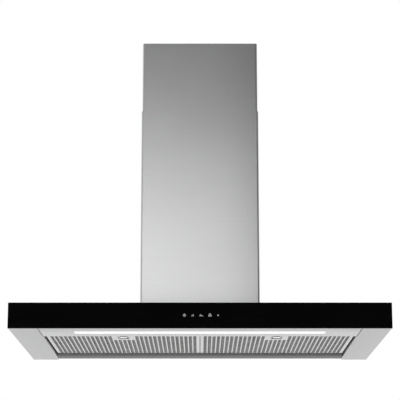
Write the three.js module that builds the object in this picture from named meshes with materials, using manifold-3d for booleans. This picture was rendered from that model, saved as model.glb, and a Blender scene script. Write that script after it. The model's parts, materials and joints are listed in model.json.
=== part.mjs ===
// Island range hood: a flat T-shaped canopy with a black glass front, hung from the ceiling by a
// telescopic frame inside a two-part steel flue. Units are millimetres, +Z is up, the glass faces -Y,
// and the origin is the centre of the ceiling plate's top face.
import * as THREE from "three";
import { mergeVertices } from "three/addons/utils/BufferGeometryUtils.js";
import Module from "manifold-3d";

// ---------- driving dimensions ----------

const TOTAL_HEIGHT = 748; // ceiling to underside, at the height the hood is hung
const CANOPY = { width: 898, depth: 598, height: 60, sheet: 1 };
const GLASS = { thickness: 4, height: 61 };
const FLUE = {
  width: 292, sheet: 1, bend: 4.5, seamBend: 0.8, nestGap: 0.8, top: -1.5, length: 440, lowerTop: 569,
};
const UPRIGHT = { outer: 136, leg: 26, sheet: 1.5, upperBottom: -430, lowerTop: 548 };
const FLANGE = { width: 69, lip: 12 }; // the canopy's turned-under side strips
const LIGHT_PANEL = { front: 4.6, rear: 144, z: 1, rise: 6.6 }; // front and rear, from the glass face
const LIGHT_BAR = { length: 596, front: 63.4, rear: 90.8 };
const FILTER = {
  width: 374.7, centre: 188.1, front: 150, rear: 512, z: 7, height: 9.5, sheet: 0.8,
  slots: 33, pitch: 10.95, slotWidth: 7.5, slotFront: 180, slotRear: 506,
};
const PIVOT = { fromFront: 526, z: 13.6 }; // the line that a filter swings about
const LATCH = { padWidth: 61, padRear: 253, windowHalf: 14, windowFront: 200, windowRear: 230 };
const BLOWER = { boxHalf: 122, boxHeight: 240, axisY: -14, axisZ: 173, scrollHalf: 64.5, wheelRadius: 80 };
const COLLAR = { inner: 72, outer: 74.5, bottom: 300.4, height: 60, spindleZ: 308 };
const DUCT_HALF = 86; // half of the square way left for the duct
const GAP = 0.3; // clearance between pieces that meet face to face

const FRONT = -CANOPY.depth / 2;
const REAR = CANOPY.depth / 2;
const CANOPY_TOP = CANOPY.height;
const SEGMENTS = 32;

// ---------- solids ----------

const wasm = await Module();
wasm.setup();

function solidOf(geometry) {
  const bare = geometry.index ? geometry.toNonIndexed() : geometry.clone();
  bare.deleteAttribute("normal");
  bare.deleteAttribute("uv");
  const merged = mergeVertices(bare, 1e-4);
  return new wasm.Manifold(
    new wasm.Mesh({
      numProp: 3,
      vertProperties: merged.attributes.position.array,
      triVerts: new Uint32Array(merged.index.array),
    }),
  );
}

function geometryOf(solid) {
  const { vertProperties, triVerts } = solid.getMesh();
  const geometry = new THREE.BufferGeometry();
  geometry.setAttribute("position", new THREE.BufferAttribute(vertProperties, 3));
  geometry.setIndex(new THREE.BufferAttribute(triVerts, 1));
  geometry.computeVertexNormals();
  return geometry;
}

const union = (first, ...rest) => rest.reduce((sum, next) => sum.add(next), first);
const cut = (first, ...rest) => rest.reduce((left, next) => left.subtract(next), first);

// A box given by its lowest and highest corners.
function block([x0, y0, z0], [x1, y1, z1]) {
  const geometry = new THREE.BoxGeometry(x1 - x0, y1 - y0, z1 - z0);
  return solidOf(geometry.translate((x0 + x1) / 2, (y0 + y1) / 2, (z0 + z1) / 2));
}

// A cylinder centred on a point, lying along an axis.
function rod(axis, [x, y, z], radius, length, segments = SEGMENTS) {
  const geometry = new THREE.CylinderGeometry(radius, radius, length, segments);
  if (axis === "x") geometry.rotateZ(Math.PI / 2);
  if (axis === "z") geometry.rotateX(Math.PI / 2);
  return solidOf(geometry.translate(x, y, z));
}

// A solid of revolution about +Z from [radius, z] points that close on themselves.
function lathe(points, segments = SEGMENTS) {
  const ring = [...points, points[0]].map(([r, z]) => new THREE.Vector2(r, z));
  return solidOf(new THREE.LatheGeometry(ring, segments).rotateX(Math.PI / 2));
}

// Extrusion frames: the profile's two axes, and the way it is pushed out.
const BASIS = {
  x: [new THREE.Vector3(0, 1, 0), new THREE.Vector3(0, 0, 1), new THREE.Vector3(1, 0, 0)],
  y: [new THREE.Vector3(1, 0, 0), new THREE.Vector3(0, 0, 1), new THREE.Vector3(0, -1, 0)],
  z: [new THREE.Vector3(1, 0, 0), new THREE.Vector3(0, 1, 0), new THREE.Vector3(0, 0, 1)],
};

// A closed profile pushed along an axis from one coordinate to another.
function extrude(axis, points, from, to) {
  const shape = new THREE.Shape(points.map(([a, b]) => new THREE.Vector2(a, b)));
  const geometry = new THREE.ExtrudeGeometry(shape, { depth: to - from, bevelEnabled: false });
  geometry.applyMatrix4(new THREE.Matrix4().makeBasis(...BASIS[axis]));
  const start = axis === "y" ? to : from;
  geometry.translate(axis === "x" ? start : 0, axis === "y" ? start : 0, axis === "z" ? start : 0);
  return solidOf(geometry);
}

// The outline of a folded sheet whose middle line follows a path with round bends. bends is one radius for
// all of them, or a list.
function folded(path, thickness, bends, steps = 3) {
  const points = path.map(([a, b]) => new THREE.Vector2(a, b));
  const left = [];
  const right = [];
  const add = (point, normal) => {
    left.push(point.clone().addScaledVector(normal, thickness / 2).toArray());
    right.unshift(point.clone().addScaledVector(normal, -thickness / 2).toArray());
  };
  const directions = points.slice(1).map((p, i) => p.clone().sub(points[i]).normalize());
  const normals = directions.map((d) => new THREE.Vector2(-d.y, d.x));
  add(points[0], normals[0]);
  for (let i = 1; i < points.length - 1; i++) {
    const bend = Array.isArray(bends) ? bends[i - 1] : bends;
    const turn = Math.atan2(directions[i - 1].cross(directions[i]), directions[i - 1].dot(directions[i]));
    const side = Math.sign(turn);
    const trim = bend * Math.tan(Math.abs(turn) / 2);
    const centre = points[i].clone().addScaledVector(directions[i - 1], -trim);
    centre.addScaledVector(normals[i - 1], side * bend);
    for (let k = 0; k <= steps; k++) {
      const normal = normals[i - 1].clone().rotateAround(new THREE.Vector2(), (turn * k) / steps);
      add(centre.clone().addScaledVector(normal, -side * bend), normal);
    }
  }
  add(points.at(-1), normals.at(-1));
  return [...left, ...right];
}

// ---------- materials ----------

const finish = (color, roughness, metalness) =>
  new THREE.MeshStandardMaterial({ color, roughness, metalness });

const BRUSHED = finish(0xbdbdbb, 0.32, 1);
const GALVANISED = finish(0x9b9d9c, 0.5, 0.9);
const FILTER_STEEL = finish(0xb4b4b2, 0.35, 1);
const MESH_METAL = finish(0x8a8c8c, 0.55, 0.9);
const BLACK_GLASS = finish(0x050505, 0.05, 0);
const DIFFUSER = finish(0xf4f4f0, 0.4, 0);
const WHITE_BOARD = finish(0xe8e8e2, 0.5, 0);
const GREEN_BOARD = finish(0x1f5a38, 0.5, 0);
const DARK_PLASTIC = finish(0x2c2d2f, 0.6, 0);
const GREY_PLASTIC = finish(0x77797b, 0.6, 0);
const DARK_STEEL = finish(0x55585a, 0.4, 0.9);

// ---------- scene graph ----------

const hood = new THREE.Group();

function group(parent, x, y, z) {
  const made = new THREE.Group();
  made.position.set(x, y, z);
  parent.add(made);
  return made;
}

function piece(parent, name, material, solid, [x, y, z] = [0, 0, 0]) {
  const mesh = new THREE.Mesh(geometryOf(solid), material);
  mesh.name = name;
  mesh.position.set(x, y, z);
  parent.add(mesh);
}

const CORNERS = [
  ["front_left", -1, -1],
  ["front_right", 1, -1],
  ["rear_left", -1, 1],
  ["rear_right", 1, 1],
];
const SIDES = [
  ["left", -1],
  ["right", 1],
];

// ---------- ceiling frame ----------

const BOLT = { radius: 3, z: 508, fromCorner: 14 }; // the clamp bolts, measured up from the underside
const SLOT = { half: 3.4, top: -114, bottom: -425 };
const TAB = { outer: 141.5, sheet: 2, y: 30, half: 15, drop: 20, holeZ: -12 };

function ceilingPlate() {
  const half = TAB.outer;
  const plate = block([-half, -half, -2], [half, half, 0]);
  const duct = block([-DUCT_HALF, -DUCT_HALF, -3], [DUCT_HALF, DUCT_HALF, 1]);
  const anchorPlaces = [[112, 0], [-112, 0], [0, 112], [0, -112]];
  const anchors = anchorPlaces.map(([x, y]) => rod("z", [x, y, -1], 4.5, 4, 16));
  const tabs = SIDES.map(([, side]) => {
    const inner = side * (half - TAB.sheet);
    const xs = [Math.min(inner, side * half), Math.max(inner, side * half)];
    const tab = block([xs[0], TAB.y - TAB.half, -TAB.drop], [xs[1], TAB.y + TAB.half, -1]);
    return cut(tab, rod("x", [side * half, TAB.y, TAB.holeZ], 2.2, 8, 12));
  });
  const seamNotches = SIDES.map(([, side]) => {
    const [x0, x1] = [side * 133, side * (half + 1)];
    return block([Math.min(x0, x1), -2.5, -3], [Math.max(x0, x1), 2.5, 1]);
  });
  return union(cut(plate, duct, ...anchors, ...seamNotches), ...tabs);
}

// An L-section upright for the +X, +Y corner, from one height to another.
function angle(outer, leg, sheet, from, to) {
  const middle = outer - sheet / 2;
  const path = [[outer - leg, middle], [middle, middle], [middle, outer - leg]];
  return extrude("z", folded(path, sheet, 1.5, 2), from, to);
}

function upperUpright() {
  const { outer, leg, sheet, upperBottom } = UPRIGHT;
  const bar = angle(outer, leg, sheet, upperBottom, -2 - GAP);
  const inside = outer - sheet - 0.4;
  const foot = block([outer - leg, outer - leg, -2 - GAP - sheet], [inside + 1, inside + 1, -2 - GAP]);
  const slotX = outer - BOLT.fromCorner;
  const slot = block([slotX - SLOT.half, outer - 5, SLOT.bottom], [slotX + SLOT.half, outer + 1, SLOT.top]);
  return cut(union(bar, foot), slot, rod("z", [outer - 15, outer - 15, -3], 2.6, 6, 12));
}

// Turns a corner piece made at +X, +Y to one of the four corners by mirroring it.
function atCorner(solid, sideX, sideY) {
  let placed = solid;
  if (sideX < 0) placed = placed.mirror([1, 0, 0]);
  if (sideY < 0) placed = placed.mirror([0, 1, 0]);
  return placed;
}

function tieRing(half, inner, thickness) {
  return cut(
    block([-half, -half, 0], [half, half, thickness]),
    block([-inner, -inner, -1], [inner, inner, thickness + 1]),
  );
}

const ceilingFrame = group(hood, 0, 0, 0);
piece(ceilingFrame, "ceiling_plate", GALVANISED, ceilingPlate());
for (const [corner, sideX, sideY] of CORNERS) {
  piece(ceilingFrame, `upper_upright_${corner}`, GALVANISED, atCorner(upperUpright(), sideX, sideY));
}
const upperTie = tieRing(UPRIGHT.outer - UPRIGHT.sheet - GAP, 112, 1.5);
piece(ceilingFrame, "upper_tie", GALVANISED, upperTie, [0, 0, -71.5]);

// ---------- flues ----------

// The front half of a square tube with round corners, seams on its sides, open at the back.
function flueHalf(width, from, to, seamFlange) {
  const side = width / 2 - FLUE.sheet / 2;
  const seam = -0.2;
  const path = [[-side, seam], [-side, -side], [side, -side], [side, seam]];
  const bends = [FLUE.bend, FLUE.bend];
  if (seamFlange) {
    const edge = seam - FLUE.sheet / 2;
    path.splice(0, 1, [-side + seamFlange, edge], [-side, edge]);
    path.splice(-1, 1, [side, edge], [side - seamFlange, edge]);
    bends.unshift(FLUE.seamBend);
    bends.push(FLUE.seamBend);
  }
  return extrude("z", folded(path, FLUE.sheet, bends, 6), from, to);
}

const upperWidth = FLUE.width - 2 * (FLUE.sheet + FLUE.nestGap);
const upperFlue = group(hood, 0, 0, FLUE.top);
const upperHalf = flueHalf(upperWidth, -FLUE.length, 0, 9);
const screwHoles = SIDES.map(([, side]) =>
  rod("x", [(side * upperWidth) / 2, TAB.y, TAB.holeZ - FLUE.top], 2.1, 6, 12),
);
piece(upperFlue, "upper_flue_front", BRUSHED, upperHalf);
piece(upperFlue, "upper_flue_rear", BRUSHED, cut(upperHalf.mirror([0, 1, 0]), ...screwHoles));
for (const [name, side] of SIDES) {
  const wall = upperWidth / 2;
  const head = rod("x", [side * (wall + 0.5 * GAP + 0.2), 0, 0], 3.4, 0.5, 16);
  const shank = rod("x", [side * (wall - 0.4), 0, 0], 1.8, 1.9, 12);
  piece(upperFlue, `flue_screw_${name}`, DARK_STEEL, union(head, shank), [0, TAB.y, TAB.holeZ - FLUE.top]);
}

// Everything below hangs from the frame and is measured up from the underside.
const body = group(hood, 0, 0, -TOTAL_HEIGHT);

const lowerHalf = flueHalf(FLUE.width, CANOPY_TOP + GAP, FLUE.lowerTop, 0);
piece(body, "lower_flue_front", BRUSHED, lowerHalf);
piece(body, "lower_flue_rear", BRUSHED, lowerHalf.mirror([0, 1, 0]));

// ---------- canopy ----------

const WALL = CANOPY.width / 2 - CANOPY.sheet / 2;
const LIP = CANOPY.width / 2 - FLANGE.width; // inner face of the lips beside the filters
const SHELL_FRONT = FRONT + GLASS.thickness + 0.4;
const SHELL_REAR = REAR - CANOPY.sheet - 0.4;

// Top, sides, turned-under flanges and lips are one folded sheet.
function canopyShell() {
  const middle = CANOPY.sheet / 2;
  const lip = LIP + middle;
  const half = [[lip, FLANGE.lip], [lip, middle], [WALL, middle], [WALL, CANOPY_TOP - middle]];
  const path = [...half, ...half.map(([x, z]) => [-x, z]).reverse()];
  const sheet = extrude("y", folded(path, CANOPY.sheet, 2), SHELL_FRONT, SHELL_REAR);
  const blowerHole = block([-115, -115, 50], [115, 115, 70]);
  return cut(sheet, blowerHole);
}

function rearFascia() {
  const half = CANOPY.width / 2;
  const plate = block([-half, REAR - CANOPY.sheet, 3], [half, REAR, CANOPY_TOP]);
  const under = CANOPY_TOP - CANOPY.sheet - GAP;
  const flange = block([-half + 2, REAR - 14, under - 1], [half - 2, REAR - 0.5, under]);
  return union(plate, flange);
}

// The strip behind the filters: a flange just above the side strips, and a step that the filters hook over.
function rearRail() {
  const step = PIVOT.fromFront + 4.5 + FRONT;
  const path = [[REAR - 2, 3.5], [step, 3.5], [step, PIVOT.z - 1.4], [step + 15, PIVOT.z - 1.4]];
  return extrude("x", folded(path, CANOPY.sheet, 1), -LIP + 1.4, LIP - 1.4);
}

// The carrier that the glass is bonded to, above the turned-under flanges, with a window for the touch board.
function frontFrame() {
  const plate = SHELL_FRONT + GAP + 0.4;
  const [low, high] = [FLANGE.lip + 1.5, CANOPY_TOP - 2];
  const path = [[plate + 10, low], [plate, low], [plate, high], [plate + 10, high]];
  const channel = extrude("x", folded(path, CANOPY.sheet, 1.2), -WALL + 1, WALL - 1);
  return cut(channel, block([-60, plate - 2, 23], [60, plate + 2, 39]));
}

function lightPanel() {
  const { front, rear, z, rise } = LIGHT_PANEL;
  const [y0, y1, flat] = [FRONT + front + 0.5, FRONT + rear - 0.5, z + 0.5];
  const path = [[y0, z + rise], [y0, flat], [y1, flat], [y1, z + rise]];
  const tray = extrude("x", folded(path, CANOPY.sheet, 1), -LIP + 1.4, LIP - 1.4);
  const half = LIGHT_BAR.length / 2 + GAP;
  const slot = block([-half, FRONT + LIGHT_BAR.front - GAP, 0], [half, FRONT + LIGHT_BAR.rear + GAP, 4]);
  return cut(tray, slot);
}

function lightDiffuser() {
  const half = LIGHT_BAR.length / 2;
  const [y0, y1] = [FRONT + LIGHT_BAR.front, FRONT + LIGHT_BAR.rear];
  const seat = LIGHT_PANEL.z + CANOPY.sheet + GAP;
  return union(
    block([-half, y0, LIGHT_PANEL.z - 0.3], [half, y1, seat + 0.5]),
    block([-half - 4, y0 - 3, seat], [half + 4, y1 + 3, seat + 2]),
  );
}

function ledHousing() {
  const [y0, y1] = [FRONT + LIGHT_BAR.front - 2, FRONT + LIGHT_BAR.rear + 2];
  const path = [[y0, 4.8], [y0, 13.4], [y1, 13.4], [y1, 4.8]];
  return extrude("x", folded(path, 1, 0.8), -LIGHT_BAR.length / 2, LIGHT_BAR.length / 2);
}

function ledBoard() {
  const y = FRONT + (LIGHT_BAR.front + LIGHT_BAR.rear) / 2;
  const half = LIGHT_BAR.length / 2 - 2;
  const count = 18;
  const chips = Array.from({ length: count }, (_, i) => {
    const x = ((i + 0.5) / count - 0.5) * 2 * half;
    return block([x - 1.5, y - 1.5, 10.3], [x + 1.5, y + 1.5, 11.2]);
  });
  return union(block([-half, y - 10, 11], [half, y + 10, 12.5]), ...chips);
}

function touchBoard() {
  const y = SHELL_FRONT - 0.1;
  const board = block([-57, y, 25], [57, y + 1.6, 37]);
  const pitch = 20;
  const pads = [-2, -1, 0, 1, 2].map((i) => rod("y", [i * pitch, y + 2, 31], 4.5, 1.4, 12));
  return union(board, ...pads);
}

piece(body, "canopy_shell", BRUSHED, canopyShell());
piece(body, "rear_fascia", BRUSHED, rearFascia());
piece(body, "rear_rail", GALVANISED, rearRail());
piece(body, "front_frame", GALVANISED, frontFrame());
piece(
  body,
  "glass_panel",
  BLACK_GLASS,
  block([-CANOPY.width / 2, FRONT, 0], [CANOPY.width / 2, FRONT + GLASS.thickness, GLASS.height]),
);
piece(body, "touch_board", GREEN_BOARD, touchBoard());
piece(body, "light_panel", BRUSHED, lightPanel());
piece(body, "light_diffuser", DIFFUSER, lightDiffuser());
piece(body, "led_housing", GREY_PLASTIC, ledHousing());
piece(body, "led_board", WHITE_BOARD, ledBoard());

// ---------- electronics bay behind the glass ----------

const bay = group(body, 232, FRONT + 75, 27.7);

function controlBox() {
  const tray = cut(block([-78, -34, 0], [78, 34, 28]), block([-76, -32, 2], [76, 32, 30]));
  const cableNotches = [-50, 0, 50].map((x) => block([x - 5, 30, 20], [x + 5, 36, 30]));
  return cut(tray, ...cableNotches);
}

piece(bay, "control_box", GREY_PLASTIC, controlBox());
piece(bay, "control_box_lid", DARK_PLASTIC, block([-78, -34, 28 + GAP], [78, 34, 31]));
const partitionY = FRONT + 139;
piece(
  body,
  "bay_partition",
  GALVANISED,
  block([-LIP + 2, partitionY, LIGHT_PANEL.z + 1.4], [LIP - 2, partitionY + 1, CANOPY_TOP - 1.4]),
);

// ---------- lower frame ----------

const LOWER_OUTER = UPRIGHT.outer - UPRIGHT.sheet - 0.4;
const BASE_THICKNESS = 2;
const BOX_FLANGE = 130;

function lowerUpright() {
  const bar = angle(LOWER_OUTER, 24, UPRIGHT.sheet, CANOPY_TOP + 2 * GAP + BASE_THICKNESS, UPRIGHT.lowerTop);
  const x = UPRIGHT.outer - BOLT.fromCorner;
  return cut(bar, rod("y", [x, LOWER_OUTER, BOLT.z], BOLT.radius + 0.2, 8, 16));
}

// Head outside, shank through the slot and the lower upright, nut inside.
function clampBolt() {
  const x = UPRIGHT.outer - BOLT.fromCorner;
  const outside = UPRIGHT.outer + GAP;
  const inside = LOWER_OUTER - UPRIGHT.sheet - GAP;
  return union(
    rod("y", [x, (outside + inside) / 2, BOLT.z], BOLT.radius, outside - inside + 8, 12),
    rod("y", [x, outside + 1.6, BOLT.z], 5.6, 3.2, 12),
    rod("y", [x, inside - 2.2, BOLT.z], 5.4, 4.4, 6),
  );
}

const baseFrame = tieRing(143.5, BOX_FLANGE + 1, BASE_THICKNESS);
piece(body, "base_frame", GALVANISED, baseFrame, [0, 0, CANOPY_TOP + GAP]);
for (const [corner, sideX, sideY] of CORNERS) {
  piece(body, `lower_upright_${corner}`, GALVANISED, atCorner(lowerUpright(), sideX, sideY));
  piece(body, `clamp_bolt_${corner}`, DARK_STEEL, atCorner(clampBolt(), sideX, sideY));
}
piece(body, "lower_tie", GALVANISED, tieRing(LOWER_OUTER - UPRIGHT.sheet - GAP, 104, 1.5), [0, 0, 420]);

// ---------- blower ----------

const BOX_TOP = CANOPY_TOP + BLOWER.boxHeight;
const blower = group(body, 0, BLOWER.axisY, BLOWER.axisZ);
const outletTop = BOX_TOP - 1 - GAP - BLOWER.axisZ;

function blowerBox() {
  const half = BLOWER.boxHalf;
  const foot = CANOPY_TOP + GAP;
  const walls = block([-half, -half, foot], [half, half, BOX_TOP]);
  const inside = block([-half + 1, -half + 1, foot - 1], [half - 1, half - 1, BOX_TOP - 1]);
  const flange = block([-BOX_FLANGE, -BOX_FLANGE, foot], [BOX_FLANGE, BOX_FLANGE, foot + 1]);
  const outlet = rod("z", [0, 0, BOX_TOP], COLLAR.inner, 6);
  const glandHole = rod("z", [97, 97, BOX_TOP], 6.5, 6, 16);
  return cut(union(walls, flange), inside, outlet, glandHole);
}

// The scroll's side view: a spiral that widens from the tongue round to the outlet neck, about the fan axis.
function scrollOutline(inset, top) {
  const [tongueRadius, outletRadius, tongueAngle, steps] = [88 - inset, 112 - inset, Math.PI / 3, 20];
  const spiral = Array.from({ length: steps + 1 }, (_, i) => {
    const turn = tongueAngle + ((2 * Math.PI - tongueAngle) * i) / steps;
    const radius = tongueRadius + ((outletRadius - tongueRadius) * i) / steps;
    return [radius * Math.cos(turn), radius * Math.sin(turn)];
  });
  const centre = -BLOWER.axisY;
  return [...spiral, [centre + 74 - inset, top], [centre - 72 + inset, top]];
}

function scrollHalf(side) {
  const wall = 2.5;
  const [near, far] = [0.15, BLOWER.scrollHalf];
  const casing = extrude("x", scrollOutline(0, outletTop), near, far);
  const hollow = extrude("x", scrollOutline(wall, outletTop + 5), near - 1, far - wall);
  const eye = rod("x", [far, 0, 0], 66, 10);
  const half = cut(casing, hollow, eye);
  return side > 0 ? half : half.mirror([1, 0, 0]);
}

// A bell-mouth ring seated in the eye of each scroll half.
function inletRing(side) {
  const ring = lathe([[60, -4], [65.6, -4], [65.6, 0], [70, 0], [70, 2], [62, 2], [60, 0]], 24);
  const turned = ring.rotate([0, side > 0 ? 90 : -90, 0]);
  return turned.translate([side * (BLOWER.scrollHalf + GAP), 0, 0]);
}

const MOTOR = { radius: 44, from: -74, to: -9 };

function motor() {
  const can = rod("x", [(MOTOR.from + MOTOR.to) / 2, 0, 0], MOTOR.radius, MOTOR.to - MOTOR.from);
  const nose = rod("x", [MOTOR.to + 1, 0, 0], 14, 6, 24);
  return cut(union(can, nose), rod("x", [0, 0, 0], 4.4, 60, 16));
}

function motorBracket() {
  const plate = MOTOR.from - GAP - 2;
  const hub = block([plate, -30, -30], [plate + 2, 30, 30]);
  const arms = [0, 120, 240].map((degrees) =>
    block([plate, -8, 0], [plate + 2, 8, 78]).rotate([degrees, 0, 0]),
  );
  const feet = [0, 120, 240].map((degrees) =>
    block([plate, -8, 75], [-BLOWER.scrollHalf - GAP, 8, 79]).rotate([degrees, 0, 0]),
  );
  return union(hub, ...arms, ...feet);
}

// One wheel for both inlets: a middle disc with a hub, two rings of curved-in blades and two end rings.
function impeller() {
  const [radius, depth, halfWidth, blades] = [BLOWER.wheelRadius, 11, 54, 24];
  const disc = rod("x", [0, 0, 0], radius - 2, 2);
  const hub = rod("x", [7, 0, 0], 10, 16, 16);
  const rings = [-1, 1].map((side) => {
    const x = side * (halfWidth - 1.5);
    return cut(rod("x", [x, 0, 0], radius, 3), rod("x", [x, 0, 0], radius - depth, 6));
  });
  const vanes = Array.from({ length: blades }, (_, i) => {
    const vane = block([-halfWidth + 1, -0.6, 0], [halfWidth - 1, 0.6, depth + 1.5]);
    return vane.rotate([35, 0, 0]).translate([0, 6, radius - depth - 1]).rotate([(360 * i) / blades, 0, 0]);
  });
  const wheel = union(disc, hub, ...rings, ...vanes);
  return cut(wheel, rod("x", [5, 0, 0], 4.2, 60, 16));
}

piece(body, "blower_box", GALVANISED, blowerBox());
for (const [name, side] of SIDES) {
  piece(blower, `blower_scroll_${name}`, GREY_PLASTIC, scrollHalf(side));
  piece(blower, `inlet_ring_${name}`, DARK_PLASTIC, inletRing(side));
}
piece(blower, "motor", DARK_STEEL, motor());
piece(blower, "motor_bracket", GALVANISED, motorBracket());
piece(blower, "impeller", DARK_PLASTIC, impeller());
piece(blower, "motor_shaft", DARK_STEEL, rod("x", [-7.85, 0, 0], 4, 43.7, 16));
piece(body, "capacitor", GREY_PLASTIC, rod("z", [103.6, -103.6, 240], 17, 70, 20));

function cableGland() {
  const nut = rod("z", [0, 0, 4], 9.5, 8, 6);
  const dome = rod("z", [0, 0, 11], 7.5, 8, 16);
  const thread = rod("z", [0, 0, -3], 6, 8, 16);
  return cut(union(nut, dome, thread), rod("z", [0, 0, 4], 3.6, 40, 16));
}

piece(body, "cable_gland", DARK_PLASTIC, cableGland(), [97, 97, BOX_TOP + GAP]);

// ---------- outlet collar and non-return flaps ----------

function outletCollar() {
  const { inner, outer, bottom, height, spindleZ } = COLLAR;
  const ledge = spindleZ - 1;
  const tube = lathe([
    [inner - 3, bottom], [90, bottom], [90, bottom + 2], [outer, bottom + 2], [outer, bottom + height],
    [inner, bottom + height], [inner, ledge], [inner - 3, ledge],
  ], 40);
  return cut(tube, rod("x", [0, 0, spindleZ], 2.2, 2 * outer + 4, 12));
}

function flap() {
  const { inner } = COLLAR;
  const [thickness, edge] = [1.2, 4.4];
  const disc = rod("z", [0, 0, 0], inner - 1.6, thickness, 40);
  const plate = cut(disc, block([-inner, -inner, -5], [inner, edge, 5]));
  const knuckles = [-40, 20].map((x) => {
    const leaf = block([x - 6, 0, -0.6], [x + 6, edge + 1, 0.6]);
    return cut(union(rod("x", [x, 0, 0], 3.8, 12, 16), leaf), rod("x", [x, 0, 0], 2.2, 20, 16));
  });
  return union(plate, ...knuckles);
}

piece(body, "outlet_collar", DARK_PLASTIC, outletCollar());
const spindle = rod("x", [0, 0, 0], 1.9, 2 * COLLAR.outer - 1, 12);
piece(body, "flap_spindle", DARK_STEEL, spindle, [0, 0, COLLAR.spindleZ]);
piece(body, "flap_rear", DARK_PLASTIC, flap(), [0, 0, COLLAR.spindleZ]);
piece(body, "flap_front", DARK_PLASTIC, flap().rotate([0, 0, 180]), [0, 0, COLLAR.spindleZ]);

// ---------- grease filters ----------

// In a filter's group x is measured from its middle, y from the glass face less the pivot, z from the pivot.
const along = (fromFront) => fromFront - PIVOT.fromFront;
const above = (z) => z - PIVOT.z;
const slotX = (i) => (i - (FILTER.slots - 1) / 2) * FILTER.pitch;
const isUnderLatchPad = (x) => Math.abs(x) < LATCH.padWidth / 2;

function slottedPlate(plate, shift, z0, z1) {
  const half = FILTER.slotWidth / 2;
  const slots = Array.from({ length: FILTER.slots - (shift ? 1 : 0) }, (_, i) => {
    const x = slotX(i) + shift;
    const start = isUnderLatchPad(x) ? LATCH.padRear : FILTER.slotFront;
    return block([x - half, along(start), z0], [x + half, along(FILTER.slotRear), z1]);
  });
  return cut(plate, ...slots);
}

// The slotted tray that shows from below, with the lip that hooks over the rear rail.
function filterFace() {
  const { width, front, rear, z, height, sheet } = FILTER;
  const [x, bottom, top] = [width / 2, above(z), above(z + height)];
  const tray = cut(
    block([-x, along(front), bottom], [x, along(rear), top]),
    block([-x + sheet, along(front) + sheet, bottom + sheet], [x - sheet, along(rear) - sheet, top + 1]),
  );
  const lip = block([-x + 4, along(rear) - 0.5, -0.6], [x - 4, 14, 0.6]);
  const springStop = block([-4, along(252), bottom + 0.5], [4, along(253), bottom + 6.5]);
  const slotted = slottedPlate(union(tray, lip, springStop), 0, bottom - 1, bottom + sheet + 0.1);
  const { windowHalf, windowFront, windowRear } = LATCH;
  const [y0, y1] = [along(windowFront), along(windowRear)];
  const window = block([-windowHalf, y0, bottom - 1], [windowHalf, y1, bottom + 2]);
  const tongueSlot = block([-12.8, along(front) - 1, bottom + 0.9], [12.8, along(front) + 2, bottom + 3.2]);
  return cut(slotted, window, tongueSlot);
}

function filterMesh() {
  const { width, front, rear, sheet, z } = FILTER;
  const x = width / 2 - sheet - GAP;
  const [z0, z1] = [above(z + sheet + 0.4), above(z + sheet + 2)];
  const layer = block([-x, along(front) + 1.2, z0], [x, along(rear) - 1.2, z1]);
  const pad = LATCH.padWidth / 2;
  const latchBay = block([-pad, along(front) - 1, z0 - 1], [pad, along(LATCH.padRear) + 1, z1 + 1]);
  return cut(layer, latchBay);
}

function filterBack() {
  const { width, front, rear, sheet, z, height } = FILTER;
  const x = width / 2 - sheet - GAP;
  const [z0, z1] = [above(z + height - 1.6), above(z + height - 0.8)];
  const plate = block([-x, along(front) + 1.2, z0], [x, along(rear) - 1.2, z1]);
  return slottedPlate(plate, FILTER.pitch / 2, z0 - 1, z1 + 1);
}

// The sliding latch: a tongue over the light panel's rear edge, and a finger pull in the window with a flat
// tab under the face.
function latch() {
  const z0 = above(FILTER.z + FILTER.sheet) + 0.4;
  const plate = block([-12, along(LIGHT_PANEL.rear) + 0.5, z0], [12, along(236), z0 + 1.4]);
  const fingerHole = block([-9.5, along(209.5), z0 - 1], [9.5, along(232), z0 + 3]);
  const pull = block([-9, along(204), z0 - 3.2], [9, along(206), z0 + 1]);
  const tab = block([-9, along(187), z0 - 3.2], [9, along(205), z0 - 2.1]);
  const ears = [-1, 1].map((side) =>
    block([side > 0 ? 8 : -9, along(204), z0 - 3.2], [side > 0 ? 9 : -8, along(209), z0 + 1]),
  );
  const springSeat = block([-4, along(235), z0], [4, along(236), z0 + 5.6]);
  return union(cut(plate, fingerHole), pull, tab, ...ears, springSeat);
}

// A compression spring along +Y, as one closed coil.
function latchSpring() {
  const [radius, wire, turns, steps, sides] = [2.2, 0.4, 5, 40, 5];
  const [y0, y1] = [along(236) + GAP + wire, along(252) - GAP - wire];
  const z = above(FILTER.z + FILTER.sheet) + 3.2;
  const points = Array.from({ length: steps + 1 }, (_, i) => {
    const turn = (2 * Math.PI * turns * i) / steps;
    const y = y0 + ((y1 - y0) * i) / steps;
    return new THREE.Vector3(radius * Math.cos(turn), y, z + radius * Math.sin(turn));
  });
  const section = new THREE.Shape(
    Array.from({ length: sides }, (_, i) => {
      const turn = (2 * Math.PI * i) / sides;
      return new THREE.Vector2(wire * Math.cos(turn), wire * Math.sin(turn));
    }),
  );
  const path = new THREE.CatmullRomCurve3(points);
  return solidOf(new THREE.ExtrudeGeometry(section, { extrudePath: path, steps, bevelEnabled: false }));
}

for (const [name, side] of SIDES) {
  const filter = group(body, side * FILTER.centre, FRONT + PIVOT.fromFront, PIVOT.z);
  piece(filter, `filter_face_${name}`, FILTER_STEEL, filterFace());
  piece(filter, `filter_mesh_${name}`, MESH_METAL, filterMesh());
  piece(filter, `filter_back_${name}`, FILTER_STEEL, filterBack());
  piece(filter, `filter_latch_${name}`, FILTER_STEEL, latch());
  piece(filter, `latch_spring_${name}`, DARK_STEEL, latchSpring());
}

export default hood;
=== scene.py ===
"""The looks of an island range hood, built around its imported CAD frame. Metres, +Z up, glass towards -Y."""

import json
import math

import bmesh
import bpy
from mathutils import Matrix, Vector


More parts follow.
